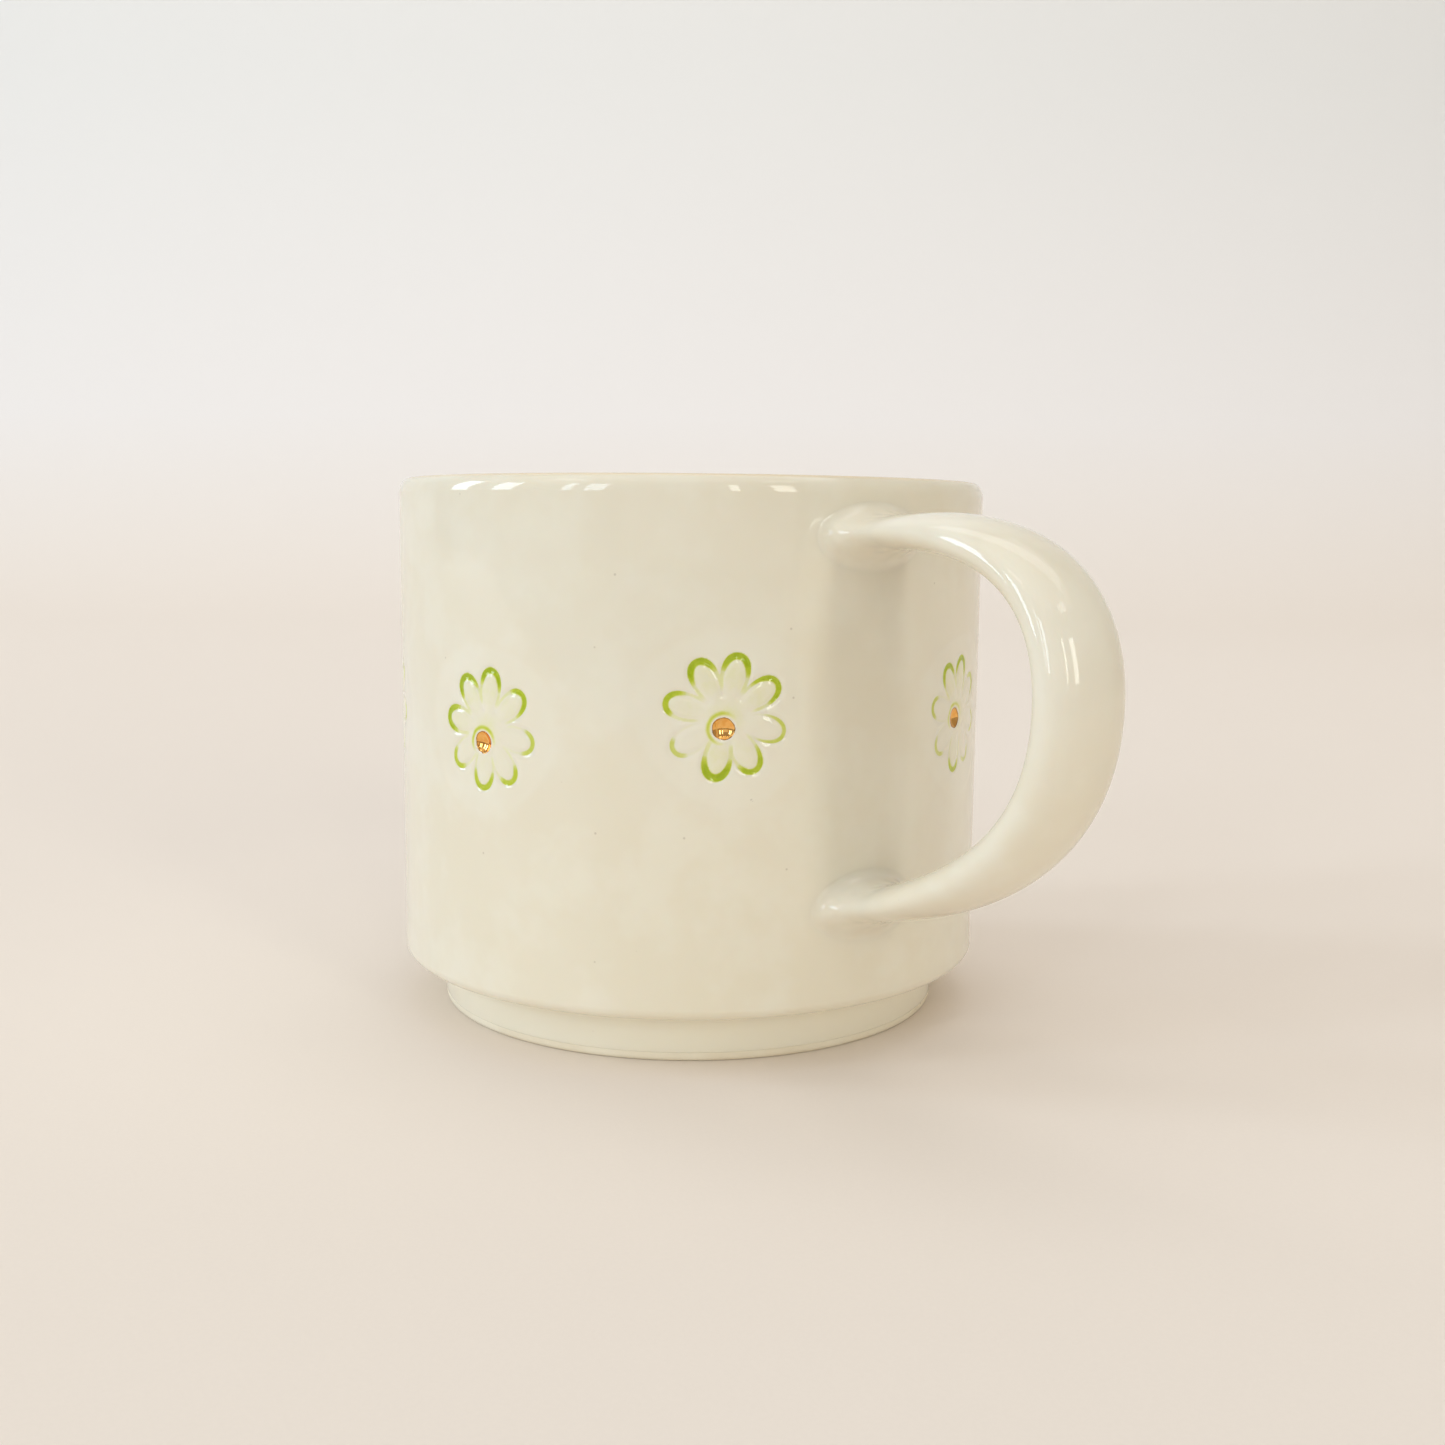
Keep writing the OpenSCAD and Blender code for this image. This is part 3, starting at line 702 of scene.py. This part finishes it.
# ---- materials ----
class Graph:
    """A short way to write a material's nodes."""

    def __init__(self, name):
        self.material = bpy.data.materials.new(name)
        self.material.use_nodes = True
        self.nodes = self.material.node_tree.nodes
        self.links = self.material.node_tree.links
        self.nodes.clear()
        self.shader = self.add("ShaderNodeBsdfPrincipled")
        output = self.add("ShaderNodeOutputMaterial")
        self.links.new(self.shader.outputs["BSDF"], output.inputs["Surface"])
        self.place = self.add("ShaderNodeTexCoord").outputs["Object"]

    def add(self, kind, **settings):
        node = self.nodes.new(kind)
        for key, value in settings.items():
            setattr(node, key, value)
        return node

    def put(self, socket, value):
        """Links a value to a socket if it comes from a node, and sets it if it is plain."""
        if isinstance(value, bpy.types.NodeSocket):
            self.links.new(value, socket)
        else:
            socket.default_value = value

    def set(self, **values):
        """Sets inputs of the shader, named with _ for each space."""
        for key, value in values.items():
            self.put(self.shader.inputs[key.replace("_", " ")], value)

    def noise(self, scale, detail=2.0, roughness=0.5, stretch=(1, 1, 1)):
        """Noise from 0 to 1, with features of about 1 / scale metres."""
        place = self.add("ShaderNodeMapping")
        place.inputs["Scale"].default_value = stretch
        self.put(place.inputs["Vector"], self.place)
        node = self.add("ShaderNodeTexNoise")
        self.put(node.inputs["Vector"], place.outputs["Vector"])
        node.inputs["Scale"].default_value = scale
        node.inputs["Detail"].default_value = detail
        node.inputs["Roughness"].default_value = roughness
        return node.outputs["Fac"]

    def spots(self, scale, low, high, share):
        """1 in small round spots and 0 elsewhere. share is the part of the cells with a spot."""
        cell = self.add("ShaderNodeTexVoronoi")
        self.put(cell.inputs["Vector"], self.place)
        cell.inputs["Scale"].default_value = scale
        spot = self.map(cell.outputs["Distance"], low, high, 1, 0)
        split = self.add("ShaderNodeSeparateColor")
        self.put(split.inputs["Color"], cell.outputs["Color"])
        chosen = self.math("GREATER_THAN", split.outputs["Red"], 1 - share)
        return self.math("MULTIPLY", spot, chosen)

    def height(self):
        """Height above the table, in metres."""
        split = self.add("ShaderNodeSeparateXYZ")
        self.put(split.inputs["Vector"], self.place)
        return split.outputs["Z"]

    def star(self, centre, size):
        """1 in a ragged spot about a point and 0 elsewhere."""
        gap = self.add("ShaderNodeVectorMath", operation="DISTANCE")
        self.put(gap.inputs[0], self.place)
        gap.inputs[1].default_value = centre
        ragged = self.math("MULTIPLY", self.noise(3800, 1.0), 1.3 * size)
        return self.map(self.math("ADD", gap.outputs["Value"], ragged), 0.6 * size, 1.1 * size, 1, 0)

    def map(self, value, low, high, to_low, to_high):
        node = self.add("ShaderNodeMapRange", interpolation_type="SMOOTHSTEP")
        self.put(node.inputs["Value"], value)
        for key, number in (("From Min", low), ("From Max", high), ("To Min", to_low), ("To Max", to_high)):
            node.inputs[key].default_value = number
        return node.outputs["Result"]

    def math(self, operation, a, b):
        node = self.add("ShaderNodeMath", operation=operation)
        self.put(node.inputs[0], a)
        self.put(node.inputs[1], b)
        return node.outputs["Value"]

    def mix(self, share, a, b, blend="MIX"):
        node = self.add("ShaderNodeMix", data_type="RGBA", blend_type=blend)
        self.put(node.inputs["Factor"], share)
        self.put(node.inputs["A"], a)
        self.put(node.inputs["B"], b)
        return node.outputs["Result"]

    def value(self, name):
        return self.add("ShaderNodeAttribute", attribute_name=name).outputs["Fac"]

    def ramp(self, value, stops):
        node = self.add("ShaderNodeValToRGB")
        self.put(node.inputs["Fac"], value)
        while len(node.color_ramp.elements) < len(stops):
            node.color_ramp.elements.new(0.5)
        for element, (at, colour) in zip(node.color_ramp.elements, stops):
            element.position = at
            element.color = colour
        return node.outputs["Color"]

    def bump(self, height, distance_mm, before=None):
        node = self.add("ShaderNodeBump")
        node.inputs["Strength"].default_value = 1.0
        node.inputs["Distance"].default_value = distance_mm * MM
        self.put(node.inputs["Height"], height)
        if before is not None:
            self.put(node.inputs["Normal"], before)
        return node.outputs["Normal"]


def colour(red, green, blue):
    """A colour written as 0 to 255 on a screen, as the linear one that shaders use."""
    def linear(x):
        x = x / 255
        return x / 12.92 if x <= 0.04045 else ((x + 0.055) / 1.055) ** 2.4
    return (linear(red), linear(green), linear(blue), 1.0)


CREAM = colour(238, 231, 213)
CREAM_WARM = colour(232, 221, 194)
CREAM_PALE = colour(243, 239, 224)
# Painted light: the foot is painted paler than the wall, standing in for light bounced onto it from the
# table.
FOOT_PAINTED_LIGHT = colour(247, 238, 216)
SPECK = colour(128, 104, 70)
SPECK_DARK = colour(66, 44, 34)
CLAY_AT_LIP = colour(232, 206, 166)
# One larger speck of iron below a front flower: its angle round the cup, height and size
STAR_ANGLE, STAR_Z, STAR_SIZE = -22.4, 36.8, 0.55
# The green from the thinnest wash to the full line
GREENS = [(0.0, colour(240, 233, 214)), (0.12, colour(232, 230, 182)), (0.3, colour(217, 219, 122)),
          (0.6, colour(194, 206, 56)), (1.0, colour(166, 186, 16))]


def glaze_material(painted):
    """Clear glaze over pale clay: glossy, with slow changes of tone, a few fine specks and painted light
    that makes the foot paler. The painted one turns green where the flowers are."""
    g = Graph("flower_glaze" if painted else "cream_glaze")
    tone = g.map(g.noise(26, 3.0, 0.55), 0.3, 0.7, 0, 1)
    base = g.mix(g.math("MULTIPLY", tone, 0.5), CREAM, CREAM_WARM)
    cloud = g.map(g.noise(90, 3.0, 0.6), 0.42, 0.66, 0, 0.35)
    base = g.mix(cloud, base, CREAM_PALE)
    if painted:
        base = g.mix(g.math("MULTIPLY", g.value("halo"), 0.25), base, CREAM_PALE)
    specks = g.math("MULTIPLY", g.spots(520, 0.04, 0.12, 0.05), 0.28)
    base = g.mix(specks, base, SPECK)
    big_specks = g.math("MULTIPLY", g.spots(150, 0.015, 0.04, 0.03), 0.5)
    base = g.mix(big_specks, base, SPECK)
    # Painted light: the glaze below the shoulder is painted paler, standing in for light bounced onto the
    # foot from the table.
    foot = g.map(g.height(), (FOOT_H - 1) * MM, (FOOT_H + 1) * MM, 0.8, 0)
    base = g.mix(foot, base, FOOT_PAINTED_LIGHT)
    lip = g.map(g.height(), (CUP_H - 0.5) * MM, CUP_H * MM, 0, 0.75)
    base = g.mix(lip, base, CLAY_AT_LIP)
    if painted:
        green = g.value("green")
        patchy = g.map(g.noise(900, 2.0, 0.6), 0.3, 0.7, 0.82, 1.12)
        green = g.math("MULTIPLY", green, patchy)
        green_colour = g.ramp(green, GREENS)
        base = g.mix(g.map(green, 0.0, 0.12, 0, 1), base, green_colour)
        star = polar(CUP_R, math.radians(STAR_ANGLE), STAR_Z) * MM
        base = g.mix(g.math("MULTIPLY", g.star(star, STAR_SIZE * MM), 0.75), base, SPECK_DARK)
    peel = g.noise(420, 1.0, 0.4)
    g.set(Base_Color=base, Roughness=g.map(g.noise(60, 2.0), 0.3, 0.7, 0.02, 0.05), IOR=1.5,
          Normal=g.bump(peel, 0.012))
    g.set(Subsurface_Weight=0.15, Subsurface_Scale=0.0012)
    g.shader.inputs["Subsurface Radius"].default_value = (1.0, 0.7, 0.45)
    return g.material


def clay_material():
    """Bare fired clay: dull, slightly yellow and finely grained."""
    g = Graph("bare_clay")
    grain = g.noise(2600, 3.0, 0.65)
    base = g.mix(g.map(g.noise(70, 3.0), 0.35, 0.65, 0, 1), colour(242, 234, 213), colour(237, 226, 202))
    base = g.mix(g.math("MULTIPLY", g.spots(700, 0.06, 0.2, 0.1), 0.5), base, SPECK)
    g.set(Base_Color=base, Roughness=g.map(grain, 0.3, 0.7, 0.7, 0.9), Normal=g.bump(grain, 0.03))
    return g.material


def gold_material():
    """Fired gold lustre: a bright thin metal skin with slight brush marks, and a painted dark reflection
    round its edge.
    """
    g = Graph("gold_lustre")
    marks = g.noise(1500, 2.0, 0.5)
    base = g.mix(g.map(marks, 0.35, 0.65, 0, 1), colour(252, 196, 116), colour(246, 180, 96))
    # Painted reflection: the edge of the gold is painted dark brown, standing in for the dark surroundings
    # that the hollow reflects there.
    base = g.mix(g.map(g.value("edge"), 0.86, 0.98, 0, 0.75), base, colour(120, 74, 34))
    g.set(Base_Color=base, Metallic=1.0, Roughness=g.map(marks, 0.3, 0.7, 0.03, 0.08),
          Normal=g.bump(marks, 0.006))
    return g.material


# ---- the stage ----
# The camera is turned 34 degrees from the handle.
CAMERA_SIDE = math.radians(-34)
CAMERA_PLACE = Vector((202.5, -130.6, 72.2)) * MM
CAMERA_PITCH = math.radians(7.27)
CAMERA_ROLL = math.radians(0.535)
CAMERA_LENS = 38.81
# The paper sweep, in metres from the mug: where it starts and bends, the bend's radius, how high
# it rises, and half its width
SWEEP_NEAR, SWEEP_FLAT, SWEEP_BEND, SWEEP_TOP, SWEEP_HALF_W = -0.36, 0.9, 0.8, 3.2, 4.5
# The height at which the paper's painted light falloff stops changing
PAINTED_FALLOFF_TOP = 0.6


def heading(side, rise):
    """A direction from the mug: side in degrees to the right of the camera's, and rise."""
    angle = CAMERA_SIDE + math.radians(side)
    up = math.radians(rise)
    return Vector((math.cos(angle) * math.cos(up), math.sin(angle) * math.cos(up), math.sin(up)))


def make_camera():
    """A camera just below the height of the rim, looking slightly down."""
    data = bpy.data.cameras.new("camera")
    data.sensor_width = 36
    data.lens = CAMERA_LENS
    data.clip_start = 0.01
    camera = bpy.data.objects.new("camera", data)
    bpy.context.scene.collection.objects.link(camera)
    ahead = -heading(0, 0) * math.cos(CAMERA_PITCH) - Vector((0, 0, math.sin(CAMERA_PITCH)))
    level = heading(90, 0)
    above = level.cross(ahead)
    right = level * math.cos(CAMERA_ROLL) + above * math.sin(CAMERA_ROLL)
    up = above * math.cos(CAMERA_ROLL) - level * math.sin(CAMERA_ROLL)
    turned = Matrix((right, up, -ahead)).transposed().to_4x4()
    camera.matrix_world = Matrix.Translation(CAMERA_PLACE) @ turned
    bpy.context.scene.camera = camera


def make_sweep():
    """A pale floor that curves up into a backdrop behind the mug, with painted light falloff in its colour:
    warmer on the floor and greyer up the backdrop.
    """
    away = -heading(0, 0)
    level = heading(90, 0)
    outline = [(SWEEP_NEAR, 0.0), (0.0, 0.0)]
    for t in np.linspace(0, math.pi / 2, 24):
        outline.append((SWEEP_FLAT + SWEEP_BEND * math.sin(t), SWEEP_BEND * (1 - math.cos(t))))
    outline.append((SWEEP_FLAT + SWEEP_BEND, SWEEP_TOP))
    points = []
    count = len(outline)
    for side in (-SWEEP_HALF_W, SWEEP_HALF_W):
        points += [(away * a + level * side + Vector((0, 0, z))) / MM for a, z in outline]
    i = np.arange(count - 1)
    faces = np.stack([i, i + 1, i + 1 + count, i + count], -1)
    obj = new_object("sweep", [tuple(p) for p in points], [faces])
    g = Graph("paper")
    fibre = g.noise(1800, 2.0, 0.6)
    # Painted light: the paper's colour changes with height, warmer on the floor and greyer up the backdrop,
    # standing in for the falloff and colour of the room's light.
    base = g.ramp(g.math("DIVIDE", g.height(), PAINTED_FALLOFF_TOP), [
        (0.0, colour(241, 231, 221)), (0.3, colour(241, 237, 235)), (1.0, colour(235, 234, 232))])
    base = g.mix(g.map(fibre, 0.3, 0.7, 0, 0.05), base, colour(220, 210, 200))
    g.set(Base_Color=base, Roughness=0.9, Normal=g.bump(fibre, 0.01))
    obj.data.materials.append(g.material)


# The colours of the light: from the sky, from the sunlit side, from the room, and plain
SKY, SUNLIT, WARM, PLAIN = (0.7, 0.85, 1.0), (1.0, 1.0, 0.9), (1.0, 0.96, 0.92), (1.0, 1.0, 1.0)
# How bright the room is beside its lights
ROOM_COLOUR, ROOM_STRENGTH = colour(250, 244, 234), 0.4

# The windows of the room, in whole degrees to the right of the camera and in four widths, in
# degrees too, near where the reflections on the rim put them
BROAD, WIDE, MEDIUM, NARROW = 20, 10, 8, 4
WINDOWS = [(-97, WIDE), (-74, WIDE), (-46, NARROW), (-35, MEDIUM), (17, NARROW), (36, MEDIUM)]
HIGH_WINDOWS = [(-60, BROAD), (-27, NARROW), (13, NARROW), (44, BROAD)]
# How high the middle of a row of windows stands, and how tall it is, in degrees
WINDOW_RISE, WINDOW_TALL = 18.5, 25
HIGH_RISE, HIGH_TALL = 50, 6
WINDOW_DISTANCE = 3.0
# Rows of windows: name, windows, rise, height, radiance and colour
WINDOW_ROWS = [
    ("window", WINDOWS[:2], WINDOW_RISE, WINDOW_TALL, 7.0, SKY),
    ("front_window", WINDOWS[2:4], WINDOW_RISE, WINDOW_TALL, 5.5, SKY),
    ("right_window", WINDOWS[4:], WINDOW_RISE, WINDOW_TALL, 5.5, SUNLIT),
    ("high_window", HIGH_WINDOWS, HIGH_RISE, HIGH_TALL, 2.2, WARM),
]

# What the lights point at, and the middle of the backdrop
MUG_MIDDLE = Vector((0, 0, 0.04))
BACKDROP_MIDDLE = -heading(0, 0) * 1.7 + heading(90, 0) * 0.8 + Vector((0, 0, 0.35))
# Large soft lights: name, side and rise in degrees, distance, width and height in metres,
# radiance, colour, and what it points at
PANELS = [
    ("key", -70, 48, 3.0, 2.4, 1.8, 0.4, WARM, MUG_MIDDLE),
    ("ceiling", 30, 82, 2.6, 3.0, 3.0, 0.55, WARM, MUG_MIDDLE),
    ("front", 8, 9, 2.6, 3.2, 0.9, 0.35, WARM, MUG_MIDDLE),
    ("backdrop_light", 170, 72, 1.9, 2.4, 1.0, 0.9, PLAIN, BACKDROP_MIDDLE),
]


def add_panel(name, side, rise, distance, width, height, radiance, tint, aim):
    """A flat light seen from the mug at a side and a rise. radiance is how bright it looks."""
    data = bpy.data.lights.new(name, "AREA")
    data.shape = "RECTANGLE"
    data.size = width
    data.size_y = height
    data.energy = radiance * math.pi * width * height
    data.color = tint
    light = bpy.data.objects.new(name, data)
    bpy.context.scene.collection.objects.link(light)
    light.location = MUG_MIDDLE + heading(side, rise) * distance
    light.rotation_euler = (light.location - aim).to_track_quat("Z", "Y").to_euler()


def span(degrees):
    """The width of something that takes up an angle of the view from the mug."""
    return 2 * WINDOW_DISTANCE * math.tan(math.radians(degrees / 2))


def window_row(name, places, rise, tall, radiance, tint):
    """Windows of one height, each as wide as its share of the view from the mug."""
    for number, (side, wide) in enumerate(places):
        width = span(wide) * math.cos(math.radians(rise))
        add_panel(f"{name}_{number}", side, rise, WINDOW_DISTANCE, width, span(tall), radiance, tint,
                  MUG_MIDDLE)


def make_lights():
    """The room, its windows, and the soft lights over the table."""
    scene = bpy.context.scene
    world = bpy.data.worlds.new("room")
    world.use_nodes = True
    background = world.node_tree.nodes["Background"]
    background.inputs["Color"].default_value = ROOM_COLOUR
    background.inputs["Strength"].default_value = ROOM_STRENGTH
    scene.world = world
    for row in WINDOW_ROWS:
        window_row(*row)
    for panel in PANELS:
        add_panel(*panel)
    scene.view_settings.view_transform = "Standard"
    scene.view_settings.look = "None"


# ---- putting it together ----
def build():
    """Every piece with its material and the CAD nodes that it replaces. The slot named in each row is not
    used.
    """
    cream = glaze_material(False)
    flower_glaze = glaze_material(True)
    clay = clay_material()
    gold = gold_material()
    loop = handle_pieces()
    rows = [
        (clay_cup(), clay, "clay", ["cup_body"]),
        (outside_coat(), flower_glaze, "glaze", ["outside_glaze"]),
        (inside_coat(), cream, "glaze", ["inside_glaze"]),
        (loop["handle_loop"], cream, "glaze", ["handle", "handle_glaze"]),
        (loop["upper_joint"], cream, "clay", ["upper_handle_joint"]),
        (loop["lower_joint"], cream, "clay", ["lower_handle_joint"]),
    ]
    for flower in FLOWERS:
        name = f"flower_{flower['number']}"
        rows.append((green_lines(flower), flower_glaze, "underglaze", [name + "_underglaze"]))
        rows.append((gold_dot(flower), gold, "gold", [name + "_gold"]))
    for piece, material, slot, nodes in rows:
        piece.data.materials.append(material)
        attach(piece, "root")
        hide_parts(*nodes)


make_camera()
make_sweep()
make_lights()
build()

bpy.context.view_layer.update()
